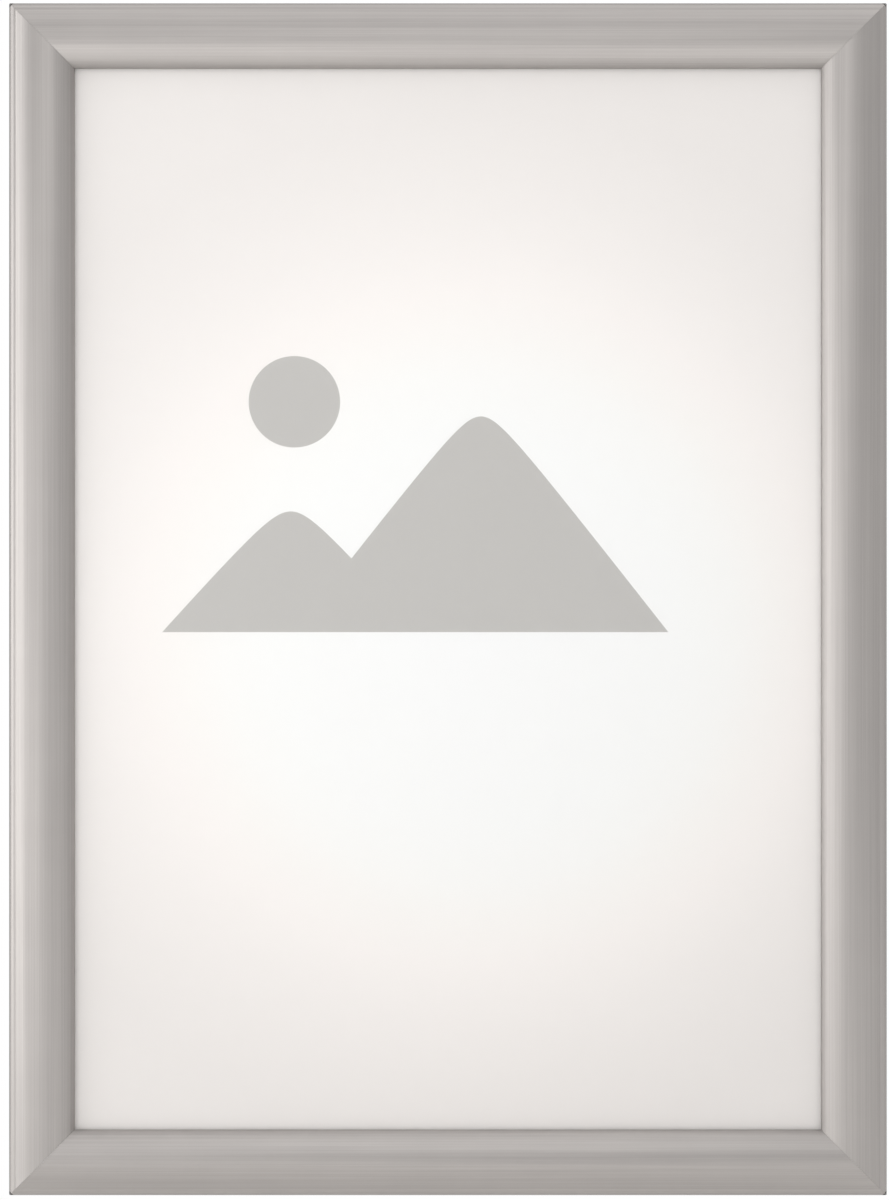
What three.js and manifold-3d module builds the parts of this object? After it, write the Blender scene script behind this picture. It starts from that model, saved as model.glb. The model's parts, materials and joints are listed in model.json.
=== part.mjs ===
// Snap-open poster frame for one A4 sheet. Four mitred aluminium back rails, drawn together at the corners by
// keys and grub screws, carry four hinged covers. Each cover turns on a round bead along the outer edge of its
// rail, and bowed leaf springs hold it shut on the sheet or snap it open.
// Millimetres, +Z up. The picture faces -Y and the wall is the plane y = 0.

import * as THREE from 'three';
import { mergeVertices } from 'three/addons/utils/BufferGeometryUtils.js';
import Module from 'manifold-3d';

const wasm = await Module();
wasm.setup();

// Driving sizes of the whole frame
const sheetWidth = 210;
const sheetHeight = 297;
const playBeside = 1;
const playAbove = 0.5;
const frameDepth = 12;
const coverWidth = 18;
const pocketInset = 14;
const mitreGap = 0.12;
const cutOverrun = 2;
const curveSegments = 8;

// Sheets in the pocket, from the wall outwards
const panelThickness = 1;
const paperThickness = 0.25;
const clearThickness = 0.5;
const sheetGap = 0.1;
const panelPlay = 0.5;
const panelCornerRadius = 1.5;
const shelfHeight = 4.4;

// Hinge: bead on a stem along the back rail, open socket along the cover
const hingeHeight = 7;
const beadRadius = 1.2;
const hingePlay = 0.2;
const socketWall = 0.9;
const cupPlay = 0.3;
const stemWidth = 0.8;
const socketInnerEnd = THREE.MathUtils.degToRad(-60);
const socketOuterEnd = THREE.MathUtils.degToRad(150);

// Back rail section
const wallThickness = 1.2;
const pocketWallThickness = 1;
const pocketWallStop = 0.15;
const shelfThickness = 1;
const shelfWidth = 9;
const keyChannelWidth = 8;
const keySlotWidth = 5.2;
const edgeBreak = 0.4;
const cupFloor = 1;
const innerFillet = 0.6;

// Cover section: an arched skin with a lip that presses on the clear sheet
const coverWall = 1.1;
const creaseAngle = THREE.MathUtils.degToRad(100);
const coverEdgeRadius = 1;
const lipClearance = 0.2;
const lipHeight = 1.02;
const lipFootWidth = 2.4;
const lipFootThickness = 0.65;

// Lug under the cover that takes the springs, and the notch at its tip
const lugReach = 3.3;
const lugWidth = 1.2;
const notchDepth = 0.45;
const lugRootAngle = THREE.MathUtils.degToRad(-20);

// Leaf springs, two to a rail
const springThickness = 0.45;
const springLength = 40;
const springBow = 1.3;
const springSeatHeight = 3.9;
const springSeatGap = 0.3;
const springNotchGap = 0.4;
const springRibHeight = 0.6;
const springRibDepth = 0.6;
const springRibPlay = 0.6;
const springPlaceShare = 0.27;

// Corner keys and their grub screws
const keyArm = 30;
const keyPlay = 0.4;
const keyThickness = 1.8;
const keyTipRadius = 1.5;
const screwRadius = 1.5;
const screwPlay = 0.1;
const screwLength = 2.4;
const screwFromCorner = 34;
const screwDrive = 1.5;
const screwDriveDepth = 1.2;
const roundSides = 32;

// Fixing holes through the side rails
const fixingHoleRadius = 2.2;
const fixingHoleInset = 8;
const fixingHolePlaceShare = 0.36;

// Sizes that follow
const frameWidth = sheetWidth + 2 * (playBeside + pocketInset);
const frameHeight = sheetHeight + 2 * (playAbove + pocketInset);
const boreRadius = beadRadius + hingePlay;
const socketRadius = boreRadius + socketWall;
const cupRadius = socketRadius + cupPlay;
const hingeInset = socketRadius;
const panelBottom = shelfHeight + sheetGap;
const paperBottom = panelBottom + panelThickness + sheetGap;
const clearBottom = paperBottom + paperThickness + sheetGap;
const clearTop = clearBottom + clearThickness;
const pocketWallTop = clearTop + pocketWallStop;
const pocketWallOuter = pocketInset - pocketWallThickness;
const channelTop = shelfHeight - shelfThickness;
const channelInner = pocketInset + keyChannelWidth;
const shelfEnd = pocketInset + shelfWidth;
const slotMiddle = pocketInset + keyChannelWidth / 2;
const slotOuter = slotMiddle - keySlotWidth / 2;
const slotInner = slotMiddle + keySlotWidth / 2;
const hornReach = lugReach + notchDepth;
const lipBottom = clearTop + lipClearance;

// Finishes
const anodised = { color: 0xb4b1ae, roughness: 0.38, metalness: 0.9 };
const finishes = {
  backRail: anodised,
  cover: anodised,
  spring: { color: 0x8d9196, roughness: 0.3, metalness: 1 },
  key: { color: 0x9a9da0, roughness: 0.45, metalness: 0.9 },
  screw: { color: 0x2b2c2e, roughness: 0.5, metalness: 0.7 },
  panel: { color: 0x3c3c3d, roughness: 0.6, metalness: 0 },
  paper: { color: 0xf1eeeb, roughness: 0.9, metalness: 0 },
  clear: { color: 0xf6f8f8, roughness: 0.15, metalness: 0, transparent: true, opacity: 0.25 },
};

// The four sides, each turned about Y from the top one
const sides = [
  { name: 'top', length: frameWidth, across: frameHeight, turn: 0 },
  { name: 'right', length: frameHeight, across: frameWidth, turn: Math.PI / 2 },
  { name: 'bottom', length: frameWidth, across: frameHeight, turn: Math.PI },
  { name: 'left', length: frameHeight, across: frameWidth, turn: -Math.PI / 2 },
];

// The four corners, each turned about Y from the top right one
const corners = [
  { name: 'top_right', x: 1, z: 1, turn: 0, rails: ['top', 'right'] },
  { name: 'bottom_right', x: 1, z: -1, turn: Math.PI / 2, rails: ['right', 'bottom'] },
  { name: 'bottom_left', x: -1, z: -1, turn: Math.PI, rails: ['bottom', 'left'] },
  { name: 'top_left', x: -1, z: 1, turn: -Math.PI / 2, rails: ['left', 'top'] },
];

// A closed geometry as a solid that can be joined and cut, and back again
function solidOf(geometry) {
  const bare = geometry.clone();
  bare.deleteAttribute('normal');
  bare.deleteAttribute('uv');
  const merged = mergeVertices(bare);
  const mesh = new wasm.Mesh({
    numProp: 3,
    vertProperties: merged.attributes.position.array,
    triVerts: new Uint32Array(merged.index.array),
  });
  return new wasm.Manifold(mesh);
}

function geometryOf(solid) {
  const mesh = solid.getMesh();
  const geometry = new THREE.BufferGeometry();
  geometry.setAttribute('position', new THREE.BufferAttribute(mesh.vertProperties, 3));
  geometry.setIndex(new THREE.BufferAttribute(mesh.triVerts, 1));
  geometry.computeVertexNormals();
  return geometry;
}

function namedMesh(name, geometry, finish) {
  const mesh = new THREE.Mesh(geometry, new THREE.MeshStandardMaterial(finishes[finish]));
  mesh.name = name;
  return mesh;
}

// A point at a distance and an angle from the hinge line, in a rail's section: x runs inwards from the outer
// face of the frame and y runs out from the wall.
function fromHinge(radius, angle, aside = 0) {
  return new THREE.Vector2(
    hingeInset + radius * Math.cos(angle) - aside * Math.sin(angle),
    hingeHeight + radius * Math.sin(angle) + aside * Math.cos(angle),
  );
}

// Section of a back rail: outer wall with the hinge cup, bead on its stem, web on the wall, pocket wall with
// the spring's ribs, shelf for the panel, and the channel for the corner keys, open to the back by a slot.
function backRailSection() {
  const stemHalf = stemWidth / 2;
  const cupAtFace = Math.acos(-hingeInset / cupRadius);
  const cupAtStem = Math.asin(stemHalf / cupRadius);
  const beadAtStem = Math.asin(stemHalf / beadRadius);
  const down = -Math.PI / 2;
  const floorUnder = hingeHeight - cupRadius - cupFloor;
  const ribs = [
    springSeatHeight - springRibPlay - springRibHeight,
    springSeatHeight + springRibPlay,
  ];
  const section = new THREE.Shape();
  section.moveTo(edgeBreak, 0);
  section.lineTo(0, edgeBreak);
  section.absarc(hingeInset, hingeHeight, cupRadius, -cupAtFace, down - cupAtStem, false);
  section.absarc(hingeInset, hingeHeight, beadRadius, down - beadAtStem, down + beadAtStem, true);
  section.lineTo(hingeInset + stemHalf, floorUnder);
  section.lineTo(wallThickness + innerFillet, floorUnder);
  section.lineTo(wallThickness, floorUnder - innerFillet);
  section.lineTo(wallThickness, wallThickness + innerFillet);
  section.lineTo(wallThickness + innerFillet, wallThickness);
  section.lineTo(pocketWallOuter, wallThickness);
  for (const rib of ribs) {
    section.lineTo(pocketWallOuter, rib);
    section.absarc(
      pocketWallOuter - springRibDepth + springRibHeight / 2, rib + springRibHeight / 2,
      springRibHeight / 2, down, -down, true,
    );
    section.lineTo(pocketWallOuter, rib + springRibHeight);
  }
  section.absarc(
    pocketInset - pocketWallThickness / 2, pocketWallTop - pocketWallThickness / 2,
    pocketWallThickness / 2, Math.PI, 0, true,
  );
  section.lineTo(pocketInset, shelfHeight);
  section.lineTo(shelfEnd - edgeBreak, shelfHeight);
  section.lineTo(shelfEnd, shelfHeight - edgeBreak);
  section.lineTo(shelfEnd, edgeBreak);
  section.lineTo(shelfEnd - edgeBreak, 0);
  section.lineTo(slotInner, 0);
  section.lineTo(slotInner, wallThickness);
  section.lineTo(channelInner, wallThickness);
  section.lineTo(channelInner, channelTop);
  section.lineTo(pocketInset, channelTop);
  section.lineTo(pocketInset, wallThickness);
  section.lineTo(slotOuter, wallThickness);
  section.lineTo(slotOuter, 0);
  section.closePath();
  return section;
}

// Circle of the cover's skin: from the crease beside the socket to the top of the lip, level at the crown. A
// point that lies a drop below the crown is sqrt(drop * (2 * radius - drop)) beside it, and of the two crowns
// that this allows, the one between the points is taken.
function archCircle() {
  const crease = fromHinge(socketRadius, creaseAngle);
  const creaseDrop = frameDepth - crease.y;
  const lipDrop = frameDepth - lipBottom - lipHeight;
  const squared = lipDrop - creaseDrop;
  const linear = crease.x * lipDrop - coverWidth * creaseDrop;
  const plain = (
    crease.x ** 2 * lipDrop - coverWidth ** 2 * creaseDrop - creaseDrop * lipDrop * (lipDrop - creaseDrop)
  );
  const crown = plain / (linear - Math.sqrt(linear ** 2 - squared * plain));
  const radius = ((crown - crease.x) ** 2 + creaseDrop ** 2) / (2 * creaseDrop);
  return { x: crown, y: frameDepth - radius, radius, crease };
}

// Where the underside of the skin meets the outside of the socket
function undersideMeetsSocket(arch) {
  const towards = new THREE.Vector2(arch.x - hingeInset, arch.y - hingeHeight);
  const distance = towards.length();
  const underside = arch.radius - coverWall;
  const along = (socketRadius ** 2 - underside ** 2 + distance ** 2) / (2 * distance);
  return towards.angle() + Math.acos(along / socketRadius);
}

// Section of a cover: socket, crease, arched skin, rounded inner edge and lip, then back under the skin, and the
// lug, a wedge from the inner end of the socket to a notched tip.
function coverSection() {
  const arch = archCircle();
  const underside = arch.radius - coverWall;
  const edgeX = coverWidth - coverEdgeRadius;
  const edgeY = arch.y + Math.sqrt((arch.radius - coverEdgeRadius) ** 2 - (edgeX - arch.x) ** 2);
  const edgeAngle = Math.atan2(edgeY - arch.y, edgeX - arch.x);
  const creaseOnArch = Math.atan2(arch.crease.y - arch.y, arch.crease.x - arch.x);
  const footTop = lipBottom + lipFootThickness;
  const footOnUnderside = Math.asin((footTop - arch.y) / underside);
  const meeting = undersideMeetsSocket(arch);
  const socketMeet = fromHinge(socketRadius, meeting);
  const meetOnUnderside = Math.atan2(socketMeet.y - arch.y, socketMeet.x - arch.x);
  const section = new THREE.Shape();
  section.absarc(hingeInset, hingeHeight, boreRadius, socketInnerEnd, socketOuterEnd, false);
  section.absarc(hingeInset, hingeHeight, socketRadius, socketOuterEnd, creaseAngle, true);
  section.absarc(arch.x, arch.y, arch.radius, creaseOnArch, edgeAngle, true);
  section.absarc(edgeX, edgeY, coverEdgeRadius, edgeAngle, 0, true);
  section.lineTo(coverWidth, lipBottom);
  section.lineTo(coverWidth - lipFootWidth, lipBottom);
  section.lineTo(coverWidth - lipFootWidth, footTop);
  section.absarc(arch.x, arch.y, underside, footOnUnderside, meetOnUnderside, false);
  section.absarc(hingeInset, hingeHeight, socketRadius, meeting, lugRootAngle, true);
  for (const point of [
    fromHinge(hornReach, socketInnerEnd, lugWidth / 2),
    fromHinge(lugReach, socketInnerEnd),
    fromHinge(hornReach, socketInnerEnd, -lugWidth / 2),
  ]) {
    section.lineTo(point.x, point.y);
  }
  section.closePath();
  return section;
}

// Section of a leaf spring: a strip bowed towards the wall, from the lug's notch to the ribs of the pocket wall
function springSection() {
  const atLug = fromHinge(lugReach + springNotchGap, socketInnerEnd);
  const atWall = new THREE.Vector2(pocketWallOuter - springSeatGap, springSeatHeight);
  const chord = atWall.clone().sub(atLug);
  const radius = (chord.lengthSq() / 4 + springBow ** 2) / (2 * springBow);
  const middle = atLug.clone().add(atWall).multiplyScalar(1 / 2);
  const upwards = new THREE.Vector2(-chord.y, chord.x).normalize();
  const centre = middle.addScaledVector(upwards, radius - springBow);
  const start = Math.atan2(atLug.y - centre.y, atLug.x - centre.x);
  const end = Math.atan2(atWall.y - centre.y, atWall.x - centre.x);
  const section = new THREE.Shape();
  section.absarc(centre.x, centre.y, radius + springThickness / 2, start, end, false);
  section.absarc(centre.x, centre.y, radius - springThickness / 2, end, start, true);
  section.closePath();
  return section;
}

// A bar with a section, cut square at both ends and centred on its length
function squareBar(section, length) {
  const bar = new THREE.ExtrudeGeometry(section, { depth: length, bevelEnabled: false, curveSegments });
  bar.translate(0, 0, -length / 2);
  return bar;
}

// The same bar with both ends cut at 45 degrees, the outer face at full length. Each point of the section ends
// where the mitre crosses its inset.
function mitredBar(section, length, insetOf) {
  const bar = squareBar(section, length);
  const points = bar.attributes.position;
  for (let i = 0; i < points.count; i += 1) {
    const reach = length / 2 - insetOf(points.getX(i), points.getY(i)) - mitreGap;
    points.setZ(i, Math.sign(points.getZ(i)) * reach);
  }
  return bar;
}

// Inset of a rail's point, which stays where it is
function insetAtRest(x) {
  return x;
}

// Farthest inset that a cover's point reaches as the cover opens by a quarter turn. The socket swings inwards
// below the hinge line, so its ends are cut shorter there, and adjoining covers pass each other.
function farthestInset(x, y) {
  const inwards = x - hingeInset;
  const outwards = y - hingeHeight;
  const passesHingeHeight = inwards > 0 && outwards < 0;
  return hingeInset + (passesHingeHeight ? Math.hypot(inwards, outwards) : Math.max(inwards, -outwards));
}

// A round or six-sided pin along the section's y, from one height to another
function pin(radius, bottom, top, pinSides) {
  const geometry = new THREE.CylinderGeometry(radius, radius, top - bottom, pinSides);
  geometry.translate(0, (bottom + top) / 2, 0);
  return geometry;
}

function backRail(side) {
  let rail = solidOf(mitredBar(backRailSection(), side.length, insetAtRest));
  if (side.length === Math.max(frameWidth, frameHeight)) {
    for (const way of [-1, 1]) {
      const hole = pin(fixingHoleRadius, -cutOverrun, wallThickness + cutOverrun, roundSides);
      hole.translate(fixingHoleInset, 0, way * fixingHolePlaceShare * side.length);
      rail = rail.subtract(solidOf(hole));
    }
  }
  return namedMesh(`back_rail_${side.name}`, geometryOf(rail), 'backRail');
}

function snapCover(side) {
  const bar = solidOf(mitredBar(coverSection(), side.length, farthestInset));
  return namedMesh(`snap_cover_${side.name}`, geometryOf(bar), 'cover');
}

function leafSprings(side) {
  return [-1, 1].map((way, index) => {
    const spring = namedMesh(
      `leaf_spring_${side.name}_${index + 1}`, squareBar(springSection(), springLength), 'spring',
    );
    spring.position.z = way * springPlaceShare * side.length;
    return spring;
  });
}

// A rail with its cover and springs, in the rail's own section axes, standing on its outer face
function railAssembly(side) {
  const section = new THREE.Group();
  const inwards = new THREE.Vector3(0, 0, -1);
  const outOfWall = new THREE.Vector3(0, -1, 0);
  const along = new THREE.Vector3().crossVectors(inwards, outOfWall);
  section.quaternion.setFromRotationMatrix(new THREE.Matrix4().makeBasis(inwards, outOfWall, along));
  section.position.z = side.across / 2;
  section.add(backRail(side), snapCover(side), ...leafSprings(side));
  const turned = new THREE.Group();
  turned.rotation.y = side.turn;
  turned.add(section);
  return turned;
}

// Outline of a corner key: an L whose arms fill the channels of two rails, with rounded tips
function keyOutline() {
  const outer = pocketInset + keyPlay;
  const inner = channelInner - keyPlay;
  const tip = outer + keyArm;
  const outline = new THREE.Shape();
  outline.moveTo(-outer, -outer);
  outline.lineTo(-tip + keyTipRadius, -outer);
  outline.quadraticCurveTo(-tip, -outer, -tip, -outer - keyTipRadius);
  outline.lineTo(-tip, -inner + keyTipRadius);
  outline.quadraticCurveTo(-tip, -inner, -tip + keyTipRadius, -inner);
  outline.lineTo(-inner, -inner);
  outline.lineTo(-inner, -tip + keyTipRadius);
  outline.quadraticCurveTo(-inner, -tip, -inner + keyTipRadius, -tip);
  outline.lineTo(-outer - keyTipRadius, -tip);
  outline.quadraticCurveTo(-outer, -tip, -outer, -tip + keyTipRadius);
  outline.closePath();
  for (const place of [[-screwFromCorner, -slotMiddle], [-slotMiddle, -screwFromCorner]]) {
    const hole = new THREE.Path();
    hole.absarc(...place, screwRadius + screwPlay, 0, 2 * Math.PI, true);
    outline.holes.push(hole);
  }
  return outline;
}

// Grub screw: a short threaded pin, drawn plain, with a six-sided socket that faces the back
function grubScrew(name) {
  const back = channelTop - sheetGap - screwLength;
  const body = solidOf(pin(screwRadius, back, back + screwLength, roundSides));
  const drive = solidOf(pin(screwDrive / Math.sqrt(3), back - cutOverrun, back + screwDriveDepth, 6));
  return namedMesh(name, geometryOf(body.subtract(drive)), 'screw');
}

// A corner's key and its two grub screws, measured from the frame's outer corner
function cornerAssembly(corner) {
  const keyBottom = (wallThickness + channelTop - keyThickness) / 2;
  const plate = new THREE.ExtrudeGeometry(keyOutline(), {
    depth: keyThickness, bevelEnabled: false, curveSegments,
  });
  plate.rotateX(Math.PI / 2);
  const key = namedMesh(`corner_key_${corner.name}`, plate, 'key');
  key.position.y = -keyBottom;
  const screws = corner.rails.map((rail, index) => {
    const screw = grubScrew(`grub_screw_${corner.name}_in_${rail}_rail`);
    const along = index === 0 ? [-screwFromCorner, -slotMiddle] : [-slotMiddle, -screwFromCorner];
    screw.rotation.x = Math.PI;
    screw.position.set(along[0], 0, along[1]);
    return screw;
  });
  const group = new THREE.Group();
  group.add(key, ...screws);
  group.rotation.y = corner.turn;
  group.position.set(corner.x * frameWidth / 2, 0, corner.z * frameHeight / 2);
  return group;
}

// A flat sheet with rounded corners, its back at a height above the wall
function flatSheet(name, width, height, cornerRadius, bottom, thickness, finish) {
  const outline = new THREE.Shape();
  const x = width / 2 - cornerRadius;
  const y = height / 2 - cornerRadius;
  if (cornerRadius > 0) {
    outline.absarc(x, y, cornerRadius, 0, Math.PI / 2, false);
    outline.absarc(-x, y, cornerRadius, Math.PI / 2, Math.PI, false);
    outline.absarc(-x, -y, cornerRadius, Math.PI, 3 * Math.PI / 2, false);
    outline.absarc(x, -y, cornerRadius, 3 * Math.PI / 2, 2 * Math.PI, false);
  } else {
    outline.moveTo(x, y);
    outline.lineTo(-x, y);
    outline.lineTo(-x, -y);
    outline.lineTo(x, -y);
  }
  outline.closePath();
  const sheet = new THREE.ExtrudeGeometry(outline, { depth: thickness, bevelEnabled: false, curveSegments });
  sheet.rotateX(Math.PI / 2);
  const mesh = namedMesh(name, sheet, finish);
  mesh.position.y = -bottom;
  return mesh;
}

// Back panel, printed sheet and clear cover sheet, in the pocket inside the four rails
function sheetStack() {
  const panelWidth = sheetWidth + 2 * playBeside - 2 * panelPlay;
  const panelHeight = sheetHeight + 2 * playAbove - 2 * panelPlay;
  return [
    flatSheet('back_panel', panelWidth, panelHeight, panelCornerRadius, panelBottom, panelThickness, 'panel'),
    flatSheet('insert_sheet', sheetWidth, sheetHeight, 0, paperBottom, paperThickness, 'paper'),
    flatSheet(
      'clear_cover_sheet', panelWidth, panelHeight, panelCornerRadius, clearBottom, clearThickness, 'clear',
    ),
  ];
}

// The frame, with its origin on the wall face of the top rail, in the middle of that rail
const posterFrame = new THREE.Group();
posterFrame.name = 'poster_frame';
posterFrame.add(...sides.map(railAssembly), ...corners.map(cornerAssembly), ...sheetStack());
posterFrame.position.z = slotOuter / 2 - frameHeight / 2;

export default posterFrame;
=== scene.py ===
import json
import math

import bpy
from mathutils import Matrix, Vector
from mathutils.geometry import tessellate_polygon


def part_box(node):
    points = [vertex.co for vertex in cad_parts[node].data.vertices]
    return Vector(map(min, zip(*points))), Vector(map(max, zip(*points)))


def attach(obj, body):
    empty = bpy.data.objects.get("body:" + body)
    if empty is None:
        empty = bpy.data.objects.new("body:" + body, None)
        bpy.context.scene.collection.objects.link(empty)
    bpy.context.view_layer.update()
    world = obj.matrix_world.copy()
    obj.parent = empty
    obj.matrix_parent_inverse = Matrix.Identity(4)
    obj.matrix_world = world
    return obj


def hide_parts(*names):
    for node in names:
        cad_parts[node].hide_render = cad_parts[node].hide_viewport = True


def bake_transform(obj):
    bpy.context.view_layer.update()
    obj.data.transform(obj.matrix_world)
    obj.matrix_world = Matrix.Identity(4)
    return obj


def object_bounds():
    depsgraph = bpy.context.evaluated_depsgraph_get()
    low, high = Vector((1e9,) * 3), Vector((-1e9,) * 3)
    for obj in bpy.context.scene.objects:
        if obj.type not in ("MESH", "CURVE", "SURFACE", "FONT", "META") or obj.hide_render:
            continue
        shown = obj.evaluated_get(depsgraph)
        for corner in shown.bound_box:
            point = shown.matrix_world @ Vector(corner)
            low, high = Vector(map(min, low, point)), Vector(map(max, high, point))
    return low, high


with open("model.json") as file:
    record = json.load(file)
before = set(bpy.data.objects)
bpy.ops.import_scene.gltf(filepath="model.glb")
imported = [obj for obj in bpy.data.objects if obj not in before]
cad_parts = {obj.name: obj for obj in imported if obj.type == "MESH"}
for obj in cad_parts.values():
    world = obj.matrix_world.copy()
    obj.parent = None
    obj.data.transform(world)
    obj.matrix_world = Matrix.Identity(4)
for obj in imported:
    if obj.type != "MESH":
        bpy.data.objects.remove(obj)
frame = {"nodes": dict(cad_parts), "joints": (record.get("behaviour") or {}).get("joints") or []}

cad_low, cad_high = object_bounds()

# The back rails are four lengths of extruded aluminium, satin anodised and then sawn at 45 degrees. Each has
# the hinge bead along its outer edge, a channel for the springs, the pocket wall, the shelf that carries the
# sheets, and a channel at the back for the corner keys. The side rails are drilled for wall screws.
MM = 0.001  # in metres; the sizes of the pieces are in millimetres and their angles in degrees
OUT_OF_WALL = Vector((0, -1, 0))
EDGE_BREAK = 0.4
WALL = 1.2
HINGE_CUP_FLOOR = 1
BEAD_RADIUS = 1.2
HINGE_PLAY = 0.2
SOCKET_WALL = 0.9
CUP_PLAY = 0.3
STEM_HALF = 0.4
INNER_FILLET = 0.6
POCKET_INSET = 14
POCKET_WALL = 1
POCKET_WALL_TOP = 6.6
SHELF_HEIGHT = 4.4
SHELF_END = 23
CHANNEL_TOP = 3.4
CHANNEL_INNER = 22
SLOT = (15.4, 20.6)
SPRING_SEAT_HEIGHT = 3.9
RIB = 0.6
DRILL_RADIUS = 2.2
DRILL_INSET = 8
DRILL_PLACE_SHARE = 0.36
DIE_ROUNDING = 0.12
RAIL_MITRE_GAP = 0.06
SMOOTH_UP_TO = math.radians(32)
CUP_STEPS = 10
BEAD_STEPS = 40
RIB_STEPS = 10
WALL_TOP_STEPS = 12

BORE_RADIUS = BEAD_RADIUS + HINGE_PLAY
SOCKET_RADIUS = BORE_RADIUS + SOCKET_WALL
CUP_RADIUS = SOCKET_RADIUS + CUP_PLAY


def side_of(joint):
    """Where a side's outer lower edge and hinge lie, worked out from its cover's joint and its rail."""
    along = Vector(joint["axis"])
    inwards = OUT_OF_WALL.cross(along)
    name = joint["child"].removesuffix("_cover")
    face = min(corner.dot(inwards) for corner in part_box(f"back_rail_{name}"))
    hinge = Vector(joint["pos_m"])
    inset = hinge.dot(inwards) - face
    height = hinge.dot(OUT_OF_WALL)
    return {
        "name": name, "cover": joint["child"], "along": along, "inwards": inwards,
        "edge": hinge - inset * inwards - height * OUT_OF_WALL,
        "hinge": (inset / MM, height / MM),
        "length": abs((cad_high - cad_low).dot(along)) / MM,
        "way": "upright" if abs(along.z) > abs(along.x) else "level",
    }


sides = [side_of(joint) for joint in frame["joints"]]
hinge = sides[0]["hinge"]


def place(side, inset, height, run):
    """World place of a point: its inset from a side's outer face, its height off the wall, its run along."""
    return side["edge"] + MM * (inset * side["inwards"] + height * OUT_OF_WALL + run * side["along"])


def arc(centre, radius, start, end, steps):
    """Points of an arc in a section, from one angle to another in degrees."""
    turns = [math.radians(start + (end - start) * i / steps) for i in range(steps + 1)]
    return [(centre[0] + radius * math.cos(t), centre[1] + radius * math.sin(t)) for t in turns]


def rounded(outline, size):
    """The outline with its sharp corners rounded, as a die leaves them."""
    steps, most_of_an_edge = 4, 0.4
    points = [Vector(p) for p in outline]
    made = []
    for i, corner in enumerate(points):
        before = points[i - 1] - corner
        after = points[(i + 1) % len(points)] - corner
        if before.angle(-after) < SMOOTH_UP_TO:
            made.append(corner)
            continue
        a = corner + before.normalized() * min(size, most_of_an_edge * before.length)
        b = corner + after.normalized() * min(size, most_of_an_edge * after.length)
        for step in range(steps + 1):
            t = step / steps
            made.append((1 - t) ** 2 * a + 2 * t * (1 - t) * corner + t ** 2 * b)
    return [tuple(p) for p in made]


def finished_mesh(name, vertices, faces, materials, cut_faces=()):
    """An object from vertices and faces, whose winding sets the normals, smooth but for its sharp edges."""
    mesh = bpy.data.meshes.new(name)
    mesh.from_pydata(vertices, [], faces)
    for material in materials:
        mesh.materials.append(material)
    for face in cut_faces:
        mesh.polygons[face].material_index = 1
    mesh.shade_smooth()
    mesh.set_sharp_from_angle(angle=SMOOTH_UP_TO)
    piece = bpy.data.objects.new(name, mesh)
    bpy.context.scene.collection.objects.link(piece)
    return piece


def bar(name, outline, side, reach, materials):
    """A sawn length of a side's extrusion: a section's outline, each point carried along to its reach."""
    count = len(outline)
    area = sum(a[0] * b[1] - b[0] * a[1] for a, b in zip(outline, outline[1:] + outline[:1]))
    loop = outline if area > 0 else outline[::-1]
    vertices = [place(side, u, v, way * reach(u, v)) for way in (-1, 1) for u, v in loop]
    walls = [(i, (i + 1) % count, count + (i + 1) % count, count + i) for i in range(count)]
    ends = []
    for a, b, c in tessellate_polygon([[Vector((u, v, 0)) for u, v in loop]]):
        turn = (Vector(loop[b]) - Vector(loop[a])).cross(Vector(loop[c]) - Vector(loop[a]))
        near, far = ((a, c, b), (a, b, c)) if turn > 0 else ((a, b, c), (a, c, b))
        ends += [near, tuple(count + i for i in far)]
    cut_faces = range(count, count + len(ends))
    piece = finished_mesh(name, vertices, walls + ends, materials, cut_faces)
    weighted = piece.modifiers.new("flat faces stay flat", "WEIGHTED_NORMAL")
    weighted.keep_sharp = True
    return piece


def rail_outline():
    """Section of a back rail, from the outer lower edge, up round the hinge and inwards to the shelf."""
    cup_at_face = math.degrees(math.acos(-hinge[0] / CUP_RADIUS))
    cup_at_stem = math.degrees(math.asin(STEM_HALF / CUP_RADIUS))
    bead_at_stem = math.degrees(math.asin(STEM_HALF / BEAD_RADIUS))
    floor_under = hinge[1] - CUP_RADIUS - HINGE_CUP_FLOOR
    pocket_wall_outer = POCKET_INSET - POCKET_WALL
    cap = POCKET_WALL / 2
    outline = [(EDGE_BREAK, 0), (0, EDGE_BREAK)]
    outline += arc(hinge, CUP_RADIUS, -cup_at_face, -90 - cup_at_stem, CUP_STEPS)
    outline += arc(hinge, BEAD_RADIUS, -90 - bead_at_stem, -450 + bead_at_stem, BEAD_STEPS)
    outline += [
        (hinge[0] + STEM_HALF, floor_under), (WALL + INNER_FILLET, floor_under),
        (WALL, floor_under - INNER_FILLET), (WALL, WALL + INNER_FILLET),
        (WALL + INNER_FILLET, WALL), (pocket_wall_outer, WALL),
    ]
    for bottom in (SPRING_SEAT_HEIGHT - 2 * RIB, SPRING_SEAT_HEIGHT + RIB):
        outline.append((pocket_wall_outer, bottom))
        outline += arc((pocket_wall_outer - RIB / 2, bottom + RIB / 2), RIB / 2, -90, -270, RIB_STEPS)
        outline.append((pocket_wall_outer, bottom + RIB))
    outline += arc((POCKET_INSET - cap, POCKET_WALL_TOP - cap), cap, 180, 0, WALL_TOP_STEPS)
    outline += [
        (POCKET_INSET, SHELF_HEIGHT), (SHELF_END - EDGE_BREAK, SHELF_HEIGHT),
        (SHELF_END, SHELF_HEIGHT - EDGE_BREAK), (SHELF_END, EDGE_BREAK), (SHELF_END - EDGE_BREAK, 0),
        (SLOT[1], 0), (SLOT[1], WALL), (CHANNEL_INNER, WALL), (CHANNEL_INNER, CHANNEL_TOP),
        (POCKET_INSET, CHANNEL_TOP), (POCKET_INSET, WALL), (SLOT[0], WALL), (SLOT[0], 0),
    ]
    return rounded(outline, DIE_ROUNDING)


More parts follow.
